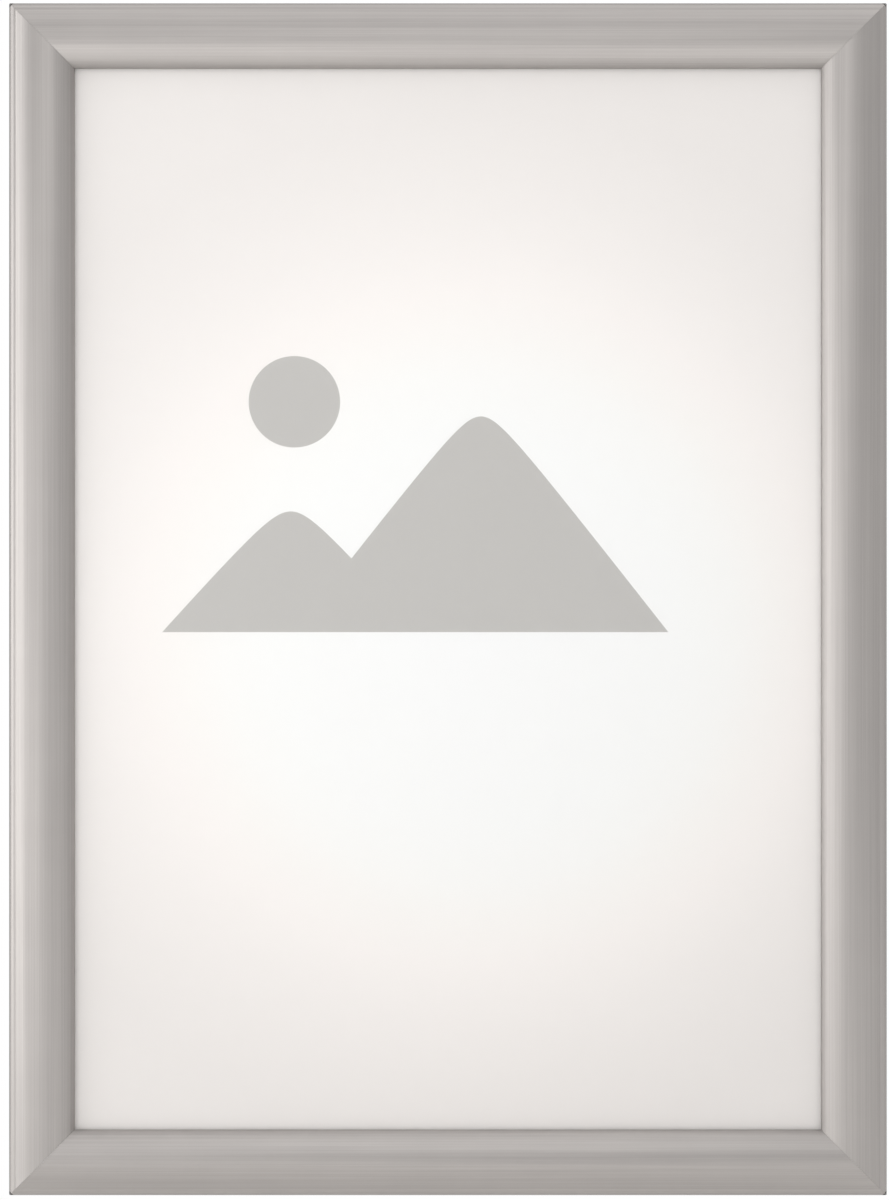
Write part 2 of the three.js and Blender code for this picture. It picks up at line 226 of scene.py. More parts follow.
def linear(colour):
    """An sRGB hex colour as the linear red, green, blue and alpha that shaders take."""
    shares = [int(colour[i:i + 2], 16) / 255 for i in (1, 3, 5)]
    return [s / 12.92 if s <= 0.04045 else ((s + 0.055) / 1.055) ** 2.4 for s in shares] + [1]


def new_material(name, roughness, metallic=0.0, colour=None):
    """A material with a Principled shader, and its node tree and shader."""
    material = bpy.data.materials.new(name)
    material.use_nodes = True
    shader = material.node_tree.nodes["Principled BSDF"]
    shader.inputs["Roughness"].default_value = roughness
    shader.inputs["Metallic"].default_value = metallic
    if colour:
        shader.inputs["Base Color"].default_value = linear(colour)
    return material, material.node_tree, shader


def add(tree, kind, inputs=None, **settings):
    """Adds a node with its settings. Inputs hold plain values or the outputs to link from."""
    made = tree.nodes.new(kind)
    for setting, value in settings.items():
        setattr(made, setting, value)
    for socket, value in (inputs or {}).items():
        if isinstance(value, bpy.types.NodeSocket):
            tree.links.new(value, made.inputs[socket])
        else:
            made.inputs[socket].default_value = value
    return made


def grain(tree, spans, detail=2.0):
    """Noise over the object's own coordinates, one span of it in each direction given in mm."""
    where = add(tree, "ShaderNodeTexCoord").outputs["Object"]
    scaled = add(tree, "ShaderNodeMapping", {"Vector": where, "Scale": [1 / (MM * s) for s in spans]})
    noise = add(tree, "ShaderNodeTexNoise", {"Vector": scaled.outputs[0], "Scale": 1, "Detail": detail})
    return noise.outputs[0]


def from_grain(tree, source, low, high, sharpness=0.25):
    """The noise stretched about its middle and carried to a range."""
    ends = {"From Min": 0.5 - sharpness, "From Max": 0.5 + sharpness, "To Min": low, "To Max": high}
    return add(tree, "ShaderNodeMapRange", {"Value": source, **ends}).outputs[0]


def blend_colours(tree, share, first, second):
    """A colour between two, by a share."""
    inputs = {"Factor": share, "A": linear(first), "B": linear(second)}
    return add(tree, "ShaderNodeMix", inputs, data_type="RGBA").outputs["Result"]


def satin_anodised(piece, way, light, dark, roughness, line_depth):
    """Anodised aluminium: etched matt before the clear oxide grows, so it gleams softly. Die lines run along
    the extrusion. They lie some 0.1 mm apart on the real rail and are drawn four times as coarse, to show."""
    line_span, line_length, cloud_span = 0.4, 90, 14
    roughness_swing, value_swing = 0.03, 0.015
    name = f"satin anodised aluminium, {way} {piece}"
    material, tree, shader = new_material(name, roughness, metallic=0.92)
    spans = (line_span, line_span, line_length) if way == "upright" else (line_length, line_span, line_span)
    lines = grain(tree, spans)
    clouds = grain(tree, (cloud_span,) * 3, detail=4.0)
    tint = blend_colours(tree, from_grain(tree, lines, 0, 1), light, dark)
    value = from_grain(tree, clouds, 1 - value_swing, 1 + value_swing)
    patchy = add(tree, "ShaderNodeHueSaturation", {"Color": tint, "Value": value})
    tree.links.new(patchy.outputs[0], shader.inputs["Base Color"])
    gloss = from_grain(tree, lines, roughness - roughness_swing, roughness + roughness_swing)
    tree.links.new(gloss, shader.inputs["Roughness"])
    bump = add(tree, "ShaderNodeBump", {"Height": lines, "Strength": 1, "Distance": line_depth * MM})
    tree.links.new(bump.outputs[0], shader.inputs["Normal"])
    return material


def sawn_aluminium():
    """Bare aluminium as the mitre saw leaves it: brighter than the oxide, with the blade's marks across it,
    which are 0.05 mm apart and drawn at 0.3 mm."""
    mark_span, mark_length, mark_depth = 0.3, 6, 0.008
    smoothest, roughest = 0.24, 0.42
    material, tree, shader = new_material("sawn aluminium", 0.3, metallic=1.0, colour="#C9C8C6")
    marks = grain(tree, (mark_length, mark_span, mark_length))
    tree.links.new(from_grain(tree, marks, smoothest, roughest), shader.inputs["Roughness"])
    bump = add(tree, "ShaderNodeBump", {"Height": marks, "Strength": 1, "Distance": mark_depth * MM})
    tree.links.new(bump.outputs[0], shader.inputs["Normal"])
    return material


def drill(rail, side):
    """Drills a side rail's web for its two wall screws."""
    count, overrun = 48, 1
    circle = arc((DRILL_INSET, 0), DRILL_RADIUS, 0, 360 * (1 - 1 / count), count - 1)
    for end in (-1, 1):
        run = end * DRILL_PLACE_SHARE * side["length"]
        rings = [
            [place(side, u, height, run - offset) for u, offset in circle]
            for height in (-overrun, WALL + overrun)
        ]
        faces = [(i, (i + 1) % count, count + (i + 1) % count, count + i) for i in range(count)]
        faces += [tuple(range(count))[::-1], tuple(range(count, 2 * count))]
        cutter = finished_mesh("drill", rings[0] + rings[1], faces, [])
        cut = rail.modifiers.new("wall screw hole", "BOOLEAN")
        cut.object = cutter
        cut.solver = "EXACT"
        with bpy.context.temp_override(object=rail, active_object=rail):
            bpy.ops.object.modifier_move_to_index(modifier=cut.name, index=0)
            bpy.ops.object.modifier_apply(modifier=cut.name)
        bpy.data.meshes.remove(cutter.data)


sawn = sawn_aluminium()
rail_finish = {
    way: satin_anodised("rail", way, light="#9F9B98", dark="#959290", roughness=0.46, line_depth=0.004)
    for way in ("level", "upright")
}
for side in sides:
    rail = bar(
        f"back_rail_extrusion_{side['name']}", rail_outline(), side,
        lambda u, v: side["length"] / 2 - u - RAIL_MITRE_GAP,
        [rail_finish[side["way"]], sawn],
    )
    if side["way"] == "upright":
        drill(rail, side)
    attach(rail, "frame")
    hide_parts(f"back_rail_{side['name']}")

# The corner keys are L-shaped plates pressed from 1.8 mm steel and zinc plated, which leaves them a dull
# bluish grey with a faint mottle. They slide into the channels of two rails and line up the mitre.
KEY_PLAY = 0.4
KEY_ARM = 30
KEY_THICKNESS = 1.8
KEY_TIP = 1.5
KEY_EDGE = 0.2
KEY_HOLE = 1.6
SCREW_FROM_CORNER = 34
KEY_MOTTLE = 1.6
KEY_ROUGHNESS = (0.34, 0.52)
KEY_TIP_STEPS = 8
KEY_HOLE_STEPS = 32
CORNERS = {
    "top_right": ("right", "top"), "bottom_right": ("bottom", "right"),
    "bottom_left": ("left", "bottom"), "top_left": ("top", "left"),
}

side_named = {side["name"]: side for side in sides}
slot_middle = (SLOT[0] + SLOT[1]) / 2
screw_places = [(slot_middle, SCREW_FROM_CORNER), (SCREW_FROM_CORNER, slot_middle)]


def place_in_corner(corner, from_first, from_second, height):
    """World place from the insets from a corner's two outer faces, and the height off the wall."""
    first, second = (side_named[name] for name in CORNERS[corner])
    outside = (first["edge"] - second["edge"]).dot(second["inwards"])
    start = first["edge"] - outside * second["inwards"]
    flat = from_first * first["inwards"] + from_second * second["inwards"]
    return start + MM * (flat + height * OUT_OF_WALL)


def drawn_in(loop, distance):
    """A closed loop moved into the metal on its left by a distance."""
    points = [Vector(p) for p in loop]
    made = []
    for i, point in enumerate(points):
        before = (point - points[i - 1]).normalized()
        after = (points[(i + 1) % len(points)] - point).normalized()
        left = Vector((-before.y - after.y, before.x + after.x)).normalized()
        lean = left.dot(Vector((-before.y, before.x)))
        made.append(tuple(point + left * distance / lean))
    return made


def pressed_plate(name, loops, bottom, thickness, edge, placed, material):
    """A plate with rounded edges. The first loop is its outline, anticlockwise; the others are its holes."""
    steps = 4
    turns = [math.radians(90 * i / steps) for i in range(steps + 1)]
    rounding = [(edge * (1 - math.sin(t)), edge * (1 - math.cos(t))) for t in turns]
    levels = [(inset, bottom + rise) for inset, rise in rounding]
    levels += [(inset, bottom + thickness - rise) for inset, rise in rounding[::-1]]
    vertices, faces, first_rings, last_rings = [], [], [], []
    for loop in loops:
        count = len(loop)
        first = len(vertices)
        for inset, height in levels:
            vertices += [placed(u, v, height) for u, v in drawn_in(loop, inset)]
        for ring in range(len(levels) - 1):
            start = first + ring * count
            faces += [
                (start + i, start + (i + 1) % count, start + count + (i + 1) % count, start + count + i)
                for i in range(count)
            ]
        first_rings += range(first, first + count)
        last_rings += range(len(vertices) - count, len(vertices))
    flats = [[Vector((*p, 0)) for p in drawn_in(loop, edge)] for loop in loops]
    flat_points = [p for loop in flats for p in loop]
    for triangle in tessellate_polygon(flats):
        a, b, c = (flat_points[i] for i in triangle)
        ordered = triangle if (b - a).cross(c - a).z > 0 else triangle[::-1]
        faces.append(tuple(first_rings[i] for i in ordered[::-1]))
        faces.append(tuple(last_rings[i] for i in ordered))
    return finished_mesh(name, vertices, faces, [material])


def key_outline():
    """Outline of a key: an L whose arms fill two channels but for their play, with rounded tips."""
    outer = POCKET_INSET + KEY_PLAY
    inner = CHANNEL_INNER - KEY_PLAY
    tip = outer + KEY_ARM
    corner = tip - KEY_TIP
    return [
        (outer, outer),
        *arc((corner, outer + KEY_TIP), KEY_TIP, -90, 0, KEY_TIP_STEPS),
        *arc((corner, inner - KEY_TIP), KEY_TIP, 0, 90, KEY_TIP_STEPS),
        (inner, inner),
        *arc((inner - KEY_TIP, corner), KEY_TIP, 0, 90, KEY_TIP_STEPS),
        *arc((outer + KEY_TIP, corner), KEY_TIP, 90, 180, KEY_TIP_STEPS),
    ]


plated, tree, shader = new_material("zinc plated steel", 0.42, metallic=0.95)
mottle = grain(tree, (KEY_MOTTLE,) * 3, detail=5.0)
tint = blend_colours(tree, from_grain(tree, mottle, 0, 1), "#A3A7AA", "#8C9092")
tree.links.new(tint, shader.inputs["Base Color"])
tree.links.new(from_grain(tree, mottle, *KEY_ROUGHNESS), shader.inputs["Roughness"])

key_bottom = (WALL + CHANNEL_TOP - KEY_THICKNESS) / 2
key_loops = [key_outline()] + [
    arc(middle, KEY_HOLE, 360, 360 / KEY_HOLE_STEPS, KEY_HOLE_STEPS - 1) for middle in screw_places
]
for corner in CORNERS:
    key = pressed_plate(
        f"corner_key_plate_{corner}", key_loops, key_bottom, KEY_THICKNESS, KEY_EDGE,
        lambda u, v, height: place_in_corner(corner, u, v, height), plated,
    )
    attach(key, "frame")
    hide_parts(f"corner_key_{corner}")

# The grub screws are M3 by 2.4 mm, in black oxide steel with a dry, dark grey surface. One in each arm of a
# key is driven from the back against the rail with a hexagon key, and so jams the corner key in its channel.
SCREW_RADIUS = 1.5
SCREW_LENGTH = 2.4
SCREW_TOP = 3.3
THREAD_PITCH = 0.5
THREAD_DEPTH = 0.31
SCREW_CHAMFER = 0.35
HEXAGON_HALF = 0.75
SOCKET_DEPTH = 1.2
SOCKET_CONE = 0.25
CUP_POINT_RADIUS = 0.75
CUP_POINT_DEPTH = 0.4
OXIDE_MOTTLE = 0.5
OXIDE_ROUGHNESS = (0.38, 0.55)

blackened, tree, shader = new_material("black oxide steel", 0.45, metallic=0.8)
mottle = grain(tree, (OXIDE_MOTTLE,) * 3, detail=3.0)
tint = blend_colours(tree, from_grain(tree, mottle, 0, 1), "#33343A", "#232427")
tree.links.new(tint, shader.inputs["Base Color"])
tree.links.new(from_grain(tree, mottle, *OXIDE_ROUGHNESS), shader.inputs["Roughness"])


def thread_radius(height, turn):
    """Radius of the thread at a height and an angle, cut back to a chamfer at both ends."""
    climb = (height / THREAD_PITCH - turn / (2 * math.pi)) % 1
    ridge = 1 - abs(2 * climb - 1)
    flat_share = 0.15
    raised = min(max((ridge - flat_share) / (1 - 2 * flat_share), 0), 1)
    from_end = min(height - (SCREW_TOP - SCREW_LENGTH), SCREW_TOP - height)
    return min(SCREW_RADIUS - THREAD_DEPTH * (1 - raised), SCREW_RADIUS - SCREW_CHAMFER + from_end)


def hexagon_radius(turn):
    """Distance from the axis to the side of the socket, at an angle."""
    return HEXAGON_HALF / math.cos((turn + math.pi / 6) % (math.pi / 3) - math.pi / 6)


def grub_screw(name, corner, place_of_screw):
    """A grub screw as rings round its axis, from the bottom of its socket to the middle of its cup point."""
    back = SCREW_TOP - SCREW_LENGTH
    around = 48
    levels = 48
    rings = [(back + SOCKET_DEPTH, hexagon_radius), (back, hexagon_radius)]
    rings += [
        (height, lambda turn, height=height: thread_radius(height, turn))
        for height in (back + SCREW_LENGTH * i / levels for i in range(levels + 1))
    ]
    rings.append((SCREW_TOP, lambda turn: CUP_POINT_RADIUS))
    vertices = [place_in_corner(corner, *place_of_screw, back + SOCKET_DEPTH + SOCKET_CONE)]
    for height, radius in rings:
        for step in range(around):
            turn = 2 * math.pi * step / around
            u = place_of_screw[0] + radius(turn) * math.cos(turn)
            v = place_of_screw[1] + radius(turn) * math.sin(turn)
            vertices.append(place_in_corner(corner, u, v, height))
    vertices.append(place_in_corner(corner, *place_of_screw, SCREW_TOP - CUP_POINT_DEPTH))
    last = len(vertices) - 1
    faces = []
    for step in range(around):
        following = (step + 1) % around
        faces.append((0, 1 + step, 1 + following))
        for ring in range(len(rings) - 1):
            this = 1 + ring * around
            next_one = this + around
            faces.append((this + step, next_one + step, next_one + following, this + following))
        faces.append((last, last - around + following, last - around + step))
    return finished_mesh(name, vertices, [face[::-1] for face in faces], [blackened])


for corner, pair in CORNERS.items():
    for rail_name, place_of_screw in zip(pair, screw_places):
        screw = grub_screw(f"grub_screw_thread_{corner}_in_{rail_name}_rail", corner, place_of_screw)
        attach(screw, "frame")
        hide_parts(f"grub_screw_{corner}_in_{rail_name}_rail")

# The snap covers are extruded and anodised like the rails, a little brighter. Their arched skin has a socket
# along its outer edge that clips over the rail's bead, a lug that the springs push on, and a lip that lies on
# the clear sheet. The ends of the socket are cut shorter than the mitre, so that the covers swing freely.
COVER_WIDTH = 18
COVER_WALL = 1.1
COVER_EDGE_RADIUS = 1
COVER_TOP = 12
LIP_BOTTOM = 6.65
LIP_HEIGHT = 1.02
LIP_FOOT = (2.4, 0.65)
CREASE_ANGLE = 100
SOCKET_ENDS = (-60, 158)
LUG_REACH = 3.3
LUG_WIDTH = 1.2
LUG_NOTCH = 0.45
LUG_ROOT_ANGLE = -20
COVER_MITRE_GAP = 0.02
BORE_STEPS = 36
SKIN_STEPS = 72
UNDERSIDE_STEPS = 48
TURN_STEPS = 12


def from_hinge(radius, angle, aside=0):
    """A point of a section at a distance and an angle in degrees from the hinge line, and moved aside."""
    turn = math.radians(angle)
    return (
        hinge[0] + radius * math.cos(turn) - aside * math.sin(turn),
        hinge[1] + radius * math.sin(turn) + aside * math.cos(turn),
    )


def angle_from(centre, point):
    """Direction of a point from a centre, in degrees."""
    return math.degrees(math.atan2(point[1] - centre[1], point[0] - centre[0]))


def skin_circle(crease):
    """Centre and radius of the skin's arch, which is level at the crown and runs from the crease to the lip.
    A point that lies a drop below the crown is sqrt(drop * (2 * radius - drop)) beside it."""
    drop = COVER_TOP - crease[1]
    lip_drop = COVER_TOP - LIP_BOTTOM - LIP_HEIGHT
    squared = lip_drop - drop
    middle = crease[0] * lip_drop - COVER_WIDTH * drop
    plain = crease[0] ** 2 * lip_drop - COVER_WIDTH ** 2 * drop - drop * lip_drop * squared
    crown = plain / (middle - math.sqrt(middle ** 2 - squared * plain))
    radius = ((crown - crease[0]) ** 2 + drop ** 2) / (2 * drop)
    return (crown, COVER_TOP - radius), radius


def cover_outline():
    """Section of a cover: socket, crease, arched skin, round inner edge, lip, underside and spring lug."""
    crease = from_hinge(SOCKET_RADIUS, CREASE_ANGLE)
    centre, radius = skin_circle(crease)
    underside = radius - COVER_WALL
    edge_x = COVER_WIDTH - COVER_EDGE_RADIUS
    edge = (edge_x, centre[1] + math.sqrt((radius - COVER_EDGE_RADIUS) ** 2 - (edge_x - centre[0]) ** 2))
    foot_width, foot_height = LIP_FOOT
    foot_top = LIP_BOTTOM + foot_height
    foot_angle = math.degrees(math.asin((foot_top - centre[1]) / underside))
    apart = math.dist(centre, hinge)
    along = (SOCKET_RADIUS ** 2 - underside ** 2 + apart ** 2) / (2 * apart)
    meeting = angle_from(hinge, centre) + math.degrees(math.acos(along / SOCKET_RADIUS))
    edge_angle = angle_from(centre, edge)
    outline = arc(hinge, BORE_RADIUS, SOCKET_ENDS[0], SOCKET_ENDS[1], BORE_STEPS)
    outline += arc(hinge, SOCKET_RADIUS, SOCKET_ENDS[1], CREASE_ANGLE, TURN_STEPS)
    outline += arc(centre, radius, angle_from(centre, crease), edge_angle, SKIN_STEPS)[1:]
    outline += arc(edge, COVER_EDGE_RADIUS, edge_angle, 0, TURN_STEPS)[1:]
    foot_end = COVER_WIDTH - foot_width
    outline += [(COVER_WIDTH, LIP_BOTTOM), (foot_end, LIP_BOTTOM), (foot_end, foot_top)]
    at_socket = angle_from(centre, from_hinge(SOCKET_RADIUS, meeting))
    outline += arc(centre, underside, foot_angle, at_socket, UNDERSIDE_STEPS)
    outline += arc(hinge, SOCKET_RADIUS, meeting, LUG_ROOT_ANGLE, TURN_STEPS)[1:]
    horn = LUG_REACH + LUG_NOTCH
    outline += [
        from_hinge(horn, SOCKET_ENDS[0], LUG_WIDTH / 2), from_hinge(LUG_REACH, SOCKET_ENDS[0]),
        from_hinge(horn, SOCKET_ENDS[0], -LUG_WIDTH / 2),
    ]
    return rounded(outline, DIE_ROUNDING)


def farthest_inset(u, v):
    """How far inwards a point of a cover gets as the cover opens by a quarter turn."""
    across, out = u - hinge[0], v - hinge[1]
    return hinge[0] + (math.hypot(across, out) if across > 0 > out else max(across, -out))


cover_finish = {
    way: satin_anodised("cover", way, light="#A09C99", dark="#989492", roughness=0.42, line_depth=0.003)
    for way in ("level", "upright")
}
for side in sides:
    cover = bar(
        f"snap_cover_extrusion_{side['name']}", cover_outline(), side,
        lambda u, v: side["length"] / 2 - farthest_inset(u, v) - COVER_MITRE_GAP,
        [cover_finish[side["way"]], sawn],
    )
    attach(cover, side["cover"])
    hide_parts(f"snap_cover_{side['name']}")

# The leaf springs are 40 mm strips of hardened spring steel, 0.45 mm thick, bright with a straw tinge from
# tempering. Each is bowed between the cover's lug and the ribs of the pocket wall; in the real frame it
# flexes with its cover, and here it is drawn at rest.
SPRING_THICKNESS = 0.45
SPRING_LENGTH = 40
SPRING_BOW = 1.3
SPRING_NOTCH_GAP = 0.4
SPRING_SEAT_GAP = 0.3
SPRING_CORNER = 1.6
SPRING_PLACE_SHARE = 0.27
ROLLING_SPAN = 0.3
ROLLING_LENGTH = 30
SPRING_ROUGHNESS = (0.22, 0.4)

tempered, tree, shader = new_material("tempered spring steel", 0.3, metallic=1.0)
rolled = grain(tree, (ROLLING_LENGTH, ROLLING_SPAN, ROLLING_LENGTH))
tint = blend_colours(tree, from_grain(tree, rolled, 0, 1), "#A6A39D", "#8D8B87")
tree.links.new(tint, shader.inputs["Base Color"])
tree.links.new(from_grain(tree, rolled, *SPRING_ROUGHNESS), shader.inputs["Roughness"])

seat_at_lug = Vector(from_hinge(LUG_REACH + SPRING_NOTCH_GAP, SOCKET_ENDS[0]))
seat_at_wall = Vector((POCKET_INSET - POCKET_WALL - SPRING_SEAT_GAP, SPRING_SEAT_HEIGHT))


def leaf_spring(name, side, run):
    """A strip bowed towards the wall between its two seats, with rounded corners."""
    rows = 32
    chord = seat_at_wall - seat_at_lug
    bow_radius = ((chord.length / 2) ** 2 + SPRING_BOW ** 2) / (2 * SPRING_BOW)
    upwards = Vector((-chord.y, chord.x)).normalized()
    centre = (seat_at_lug + seat_at_wall) / 2 + upwards * (bow_radius - SPRING_BOW)
    start, end = angle_from(centre, seat_at_lug), angle_from(centre, seat_at_wall)
    strip = math.radians(end - start) * bow_radius
    outside = arc(centre, bow_radius + SPRING_THICKNESS / 2, start, end, rows)
    inside = arc(centre, bow_radius - SPRING_THICKNESS / 2, start, end, rows)
    vertices, faces = [], []
    for row, (low, high) in enumerate(zip(outside, inside)):
        from_end = strip * min(row, rows - row) / rows
        short = max(SPRING_CORNER - from_end, 0)
        half = SPRING_LENGTH / 2 - SPRING_CORNER + math.sqrt(SPRING_CORNER ** 2 - short ** 2)
        vertices += [
            place(side, *low, run - half), place(side, *low, run + half),
            place(side, *high, run + half), place(side, *high, run - half),
        ]
        if row:
            first = 4 * (row - 1)
            faces += [
                (first + k, first + 4 + k, first + 4 + (k + 1) % 4, first + (k + 1) % 4) for k in range(4)
            ]
    faces += [(0, 1, 2, 3), tuple(4 * rows + k for k in (3, 2, 1, 0))]
    return finished_mesh(name, vertices, faces, [tempered])


for side in sides:
    for number, end in ((1, -1), (2, 1)):
        run = end * SPRING_PLACE_SHARE * side["length"]
        spring = leaf_spring(f"leaf_spring_strip_{side['name']}_{number}", side, run)
        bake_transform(spring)
        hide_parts(f"leaf_spring_{side['name']}_{number}")

# The back panel is a 1 mm sheet of black polystyrene with a fine matt emboss and faint scuffs. It stiffens
# the sheet in front of it and closes the frame at the back, where the shelves of the rails hold it.
EMBOSS_SPAN = 0.9
EMBOSS_DEPTH = 0.02
SCUFF_SPANS = (60, 60, 12)
PANEL_ROUGHNESS = (0.52, 0.68)

matt_plastic, tree, shader = new_material("matt polystyrene sheet", 0.6)
emboss = grain(tree, (EMBOSS_SPAN,) * 3, detail=3.0)
scuffs = grain(tree, SCUFF_SPANS, detail=4.0)
tint = blend_colours(tree, from_grain(tree, scuffs, 0, 1), "#2C2C2E", "#353537")
tree.links.new(tint, shader.inputs["Base Color"])
tree.links.new(from_grain(tree, emboss, *PANEL_ROUGHNESS), shader.inputs["Roughness"])
bump = add(tree, "ShaderNodeBump", {"Height": emboss, "Strength": 1, "Distance": EMBOSS_DEPTH * MM})
tree.links.new(bump.outputs[0], shader.inputs["Normal"])
frame["nodes"]["back_panel"].material_slots[0].material = matt_plastic

# The insert is a sheet of coated printing paper, white with a faint fibre relief. Its colour fades from bare
# paper in the middle to a warm light grey at the edges: painted shade, standing in for light falling off
# towards the edges. The fade's middle is set to the right of and below the sheet's middle, as painted light
# where the lamps at the left and above light the sheet less. Its print is a plain sign, a sun over two hills,
# in a mid grey.
PAINTED_SHADE_CENTRE = (8, -8)
PAINTED_SHADE_REACH = 172
PAINTED_SHADE_FADE = [(0, "#FDFDFD"), (55, "#FDFDFC"), (70, "#FDFCFA"), (80, "#FDFAF7"), (92, "#FCF7F4"),
              (110, "#F6F1EE"), (125, "#F2EDEA"), (141, "#EFEAE7"), (172, "#EFEAE7")]
SIGN_COLOUR = "#BAB7B3"
SIGN_MIDDLE = (-11, 29)
SUN = {"centre": (-31, 25), "radius": 12.5}
HILLS = [{"middle": -32, "height": 40, "slope": 1.12}, {"middle": 20, "height": 66, "slope": 1.28}]
HILL_ROUNDING = 7
SIGN_BASE = -38
INK_EDGE = 0.12
FIBRE_SPAN = 0.5
FIBRE_DEPTH = 0.004

paper, tree, shader = new_material("coated printing paper", 0.62)


def calculate(operation, *values):
    """One step of arithmetic on numbers or outputs in the paper's print."""
    made = add(tree, "ShaderNodeMath", operation=operation)
    for socket, value in zip(made.inputs, values):
        if isinstance(value, bpy.types.NodeSocket):
            tree.links.new(value, socket)
        else:
            socket.default_value = value
    return made.outputs[0]


def inked(depth):
    """1 where the depth inside a shape's outline is above zero and 0 outside, with a soft edge between."""
    ends = {"From Min": -INK_EDGE / 2, "From Max": INK_EDGE / 2}
    return add(tree, "ShaderNodeMapRange", {"Value": depth, **ends}).outputs[0]


sheet_low, sheet_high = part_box("insert_sheet")
sheet_middle = (sheet_low + sheet_high) / 2
object_place = add(tree, "ShaderNodeTexCoord").outputs["Object"]
place_on_sheet = add(tree, "ShaderNodeSeparateXYZ", {"Vector": object_place})
across = calculate("DIVIDE", calculate("SUBTRACT", place_on_sheet.outputs["X"], sheet_middle.x), MM)
upwards = calculate("DIVIDE", calculate("SUBTRACT", place_on_sheet.outputs["Z"], sheet_middle.z), MM)


def distance_to(centre):
    """Distance on the sheet to a point, in mm."""
    squares = [calculate("POWER", calculate("ABSOLUTE", calculate("SUBTRACT", axis, at)), 2)
               for axis, at in zip((across, upwards), centre)]
    return calculate("SQRT", calculate("ADD", *squares))


# Painted shade: the paper's colour darkens from the fade's middle outwards, for light falling off towards the
# edges.
painted_shade = add(tree, "ShaderNodeValToRGB", {"Fac": calculate("DIVIDE", distance_to(PAINTED_SHADE_CENTRE), PAINTED_SHADE_REACH)})
stops = painted_shade.color_ramp.elements
while len(stops) < len(PAINTED_SHADE_FADE):
    stops.new(1)
for stop, (radius, colour) in zip(stops, PAINTED_SHADE_FADE):
    stop.position = radius / PAINTED_SHADE_REACH
    stop.color = linear(colour)

sun_centre = [a + b for a, b in zip(SIGN_MIDDLE, SUN["centre"])]
sun = inked(calculate("SUBTRACT", SUN["radius"], distance_to(sun_centre)))
sign_across = calculate("SUBTRACT", across, SIGN_MIDDLE[0])
sign_up = calculate("SUBTRACT", upwards, SIGN_MIDDLE[1] + SIGN_BASE)
# Beside the hills the skyline lies below their foot by an ink's edge, so that no line is printed there.
skyline = -INK_EDGE
for hill in HILLS:
    beside = calculate("MULTIPLY", calculate("SUBTRACT", sign_across, hill["middle"]), hill["slope"])
    flanks = calculate("SQRT", calculate("ADD", calculate("MULTIPLY", beside, beside), HILL_ROUNDING ** 2))
    skyline = calculate("MAXIMUM", skyline, calculate("SUBTRACT", hill["height"], flanks))
hills = inked(calculate("MINIMUM", calculate("SUBTRACT", skyline, sign_up), sign_up))
ink = calculate("MAXIMUM", sun, hills)
# The paper's colour: the painted shade of the fade, with the printed sign over it.
print_and_shade_colours = {"Factor": ink, "A": painted_shade.outputs[0], "B": linear(SIGN_COLOUR)}
print_and_shade = add(tree, "ShaderNodeMix", print_and_shade_colours, data_type="RGBA")
tree.links.new(print_and_shade.outputs["Result"], shader.inputs["Base Color"])
bump = add(tree, "ShaderNodeBump", {
    "Height": grain(tree, (FIBRE_SPAN,) * 3, detail=4.0), "Strength": 1, "Distance": FIBRE_DEPTH * MM,
})
tree.links.new(bump.outputs[0], shader.inputs["Normal"])
frame["nodes"]["insert_sheet"].material_slots[0].material = paper

# The cover sheet is 0.5 mm of clear rigid plastic with a low-glare face: see-through, with a soft sheen from
# its slightly wavy surface.
WAVE_SPAN = 45
WAVE_DEPTH = 0.03
CLEAR_ROUGHNESS = (0.18, 0.28)

clear_plastic, tree, shader = new_material("clear low-glare plastic", 0.22, colour="#FAFBFB")
shader.inputs["Alpha"].default_value = 0.1
shader.inputs["IOR"].default_value = 1.57
waves = grain(tree, (WAVE_SPAN,) * 3)
bump = add(tree, "ShaderNodeBump", {"Height": waves, "Strength": 1, "Distance": WAVE_DEPTH * MM})
tree.links.new(bump.outputs[0], shader.inputs["Normal"])
tree.links.new(from_grain(tree, waves, *CLEAR_ROUGHNESS), shader.inputs["Roughness"])
frame["nodes"]["clear_cover_sheet"].material_slots[0].material = clear_plastic

# The studio is white all round, with a pale painted floor just below the frame and soft square lights at the
# left, above and in front, which pick out the slopes of the covers. In reflections only, the floor glows with
# painted light, an emission that no lamp casts: dimmer in a strip along the wall, as painted shade, and
# brighter further out, so that the bottom cover stays quiet and the top one's inner slope shows a painted
# highlight.
FLOOR_BELOW = 0.015
FLOOR_BEHIND = 0.1
FLOOR_REACH = 0.9
WORLD_LEVEL = 0.675
FLOOR_NEAR_PAINTED_GLOW = 0.52
FLOOR_FAR_PAINTED_GLOW = 1.15
FLOOR_SHADE = (0.09, 0.2)
FLOOR_MOTTLE = 300
centre = (cad_low + cad_high) / 2

floor_finish, tree, shader = new_material("painted studio floor", 0.8)
paint = grain(tree, (FLOOR_MOTTLE,) * 3)
tint = blend_colours(tree, from_grain(tree, paint, 0, 1), "#F4F3F1", "#EFEEEC")
tree.links.new(tint, shader.inputs["Base Color"])
object_place = add(tree, "ShaderNodeTexCoord").outputs["Object"]
place_on_floor = add(tree, "ShaderNodeSeparateXYZ", {"Vector": object_place})
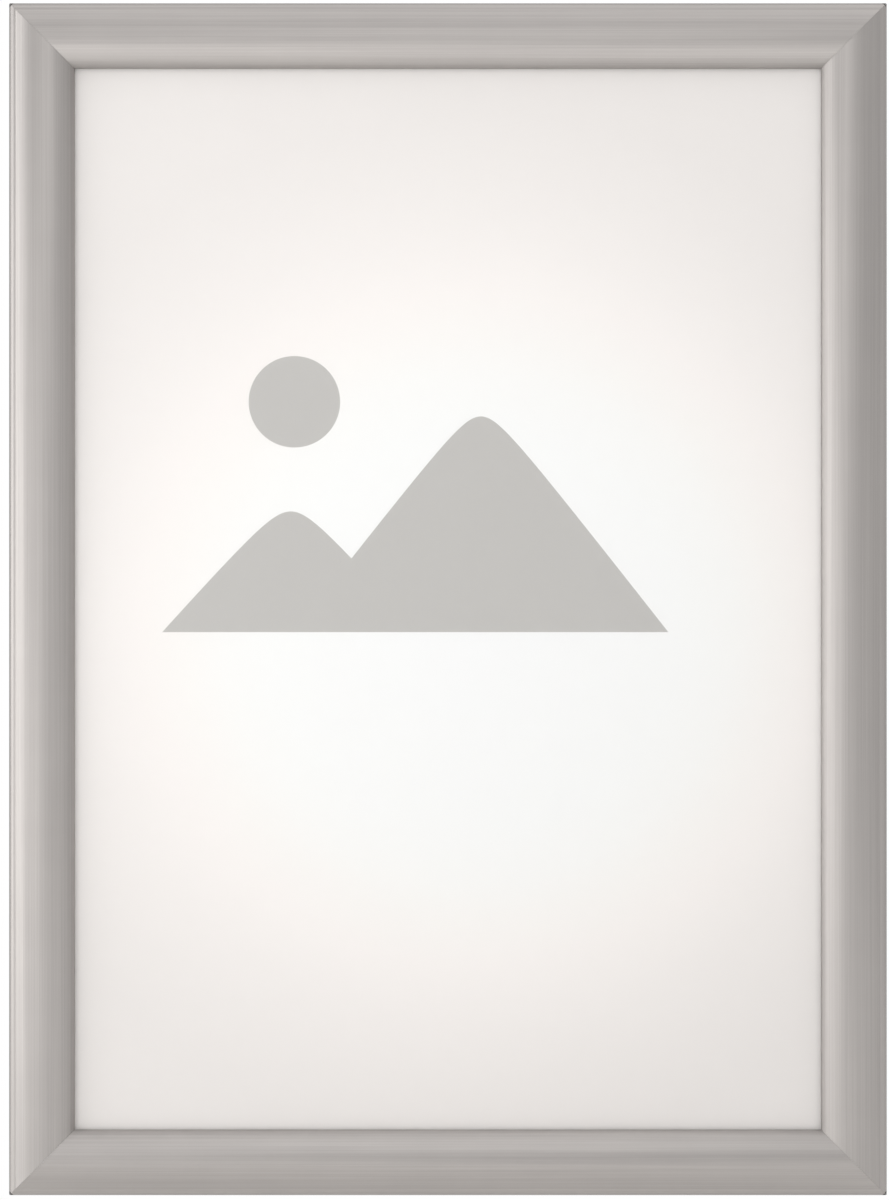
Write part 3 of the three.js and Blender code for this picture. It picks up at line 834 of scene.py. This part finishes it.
# Painted light: in reflections the floor glows, dimmer along the wall as painted shade and brighter further
# out.
painted_glow = add(tree, "ShaderNodeMapRange", {
    "Value": place_on_floor.outputs["Y"], "From Min": -FLOOR_SHADE[0], "From Max": -FLOOR_SHADE[1],
    "To Min": FLOOR_NEAR_PAINTED_GLOW, "To Max": FLOOR_FAR_PAINTED_GLOW,
})
in_a_mirror = add(tree, "ShaderNodeLightPath").outputs["Is Glossy Ray"]
painted_glow_in_reflections = add(tree, "ShaderNodeMath", {0: in_a_mirror, 1: painted_glow.outputs[0]}, operation="MULTIPLY")
shader.inputs["Emission Color"].default_value = (1, 1, 1, 1)
tree.links.new(painted_glow_in_reflections.outputs[0], shader.inputs["Emission Strength"])
floor_height = cad_low.z - FLOOR_BELOW
floor_corners = [
    (-FLOOR_REACH, -FLOOR_REACH, floor_height), (FLOOR_REACH, -FLOOR_REACH, floor_height),
    (FLOOR_REACH, FLOOR_BEHIND, floor_height), (-FLOOR_REACH, FLOOR_BEHIND, floor_height),
]
floor = finished_mesh("studio_floor", floor_corners, [(0, 1, 2, 3)], [floor_finish])

world = bpy.data.worlds.new("white studio")
world.use_nodes = True
bpy.context.scene.world = world
tree = world.node_tree
rays = add(tree, "ShaderNodeLightPath")
seen = rays.outputs["Is Camera Ray"]
for ray in ("Is Glossy Ray", "Is Transmission Ray"):
    seen = add(tree, "ShaderNodeMath", {0: seen, 1: rays.outputs[ray]}, operation="MAXIMUM").outputs[0]
level = add(tree, "ShaderNodeMapRange", {"Value": seen, "To Min": WORLD_LEVEL, "To Max": 1})
background = tree.nodes["Background"]
background.inputs["Color"].default_value = (1, 1, 1, 1)
tree.links.new(level.outputs[0], background.inputs["Strength"])


def soft_light(name, offset, size, power):
    """A square soft light at an offset from the middle of the frame, aimed at it."""
    lamp = bpy.data.lights.new(name, "AREA")
    lamp.size = size
    lamp.energy = power
    light = bpy.data.objects.new(name, lamp)
    light.location = centre + Vector(offset)
    light.rotation_euler = (-Vector(offset)).to_track_quat("-Z", "Y").to_euler()
    light.visible_camera = False
    bpy.context.scene.collection.objects.link(light)


soft_light("side light", (-0.87, -0.23, 0), size=0.6, power=2.67)
soft_light("high light", (0, -0.23, 0.87), size=0.8, power=1.34)
soft_light("upper front light", (0, -0.43, 0.25), size=0.3, power=0.22)
soft_light("left front light", (-0.23, -0.33, 0), size=0.25, power=0.17)
soft_light("middle front light", (0, -0.25, 0.07), size=0.2, power=0.03)

# The camera stands straight in front, far enough off that the frame's sides don't show, and takes in a margin
# of about 1 mm round the frame.
CAMERA_DISTANCE = 2.4
SENSOR_WIDTH = 36
VIEW_HEIGHT = 0.3274
VIEW_OFFSET = Vector((-0.00094, 0, -0.00022))

camera_data = bpy.data.cameras.new("camera")
camera = bpy.data.objects.new("camera", camera_data)
camera_data.sensor_width = SENSOR_WIDTH
camera_data.lens = SENSOR_WIDTH * (CAMERA_DISTANCE + cad_low.y) / VIEW_HEIGHT
camera.location = Vector((centre.x, -CAMERA_DISTANCE, centre.z)) + VIEW_OFFSET
camera.rotation_euler = (math.radians(90), 0, 0)
bpy.context.scene.collection.objects.link(camera)
bpy.context.scene.camera = camera
bpy.context.scene.view_settings.view_transform = "Standard"
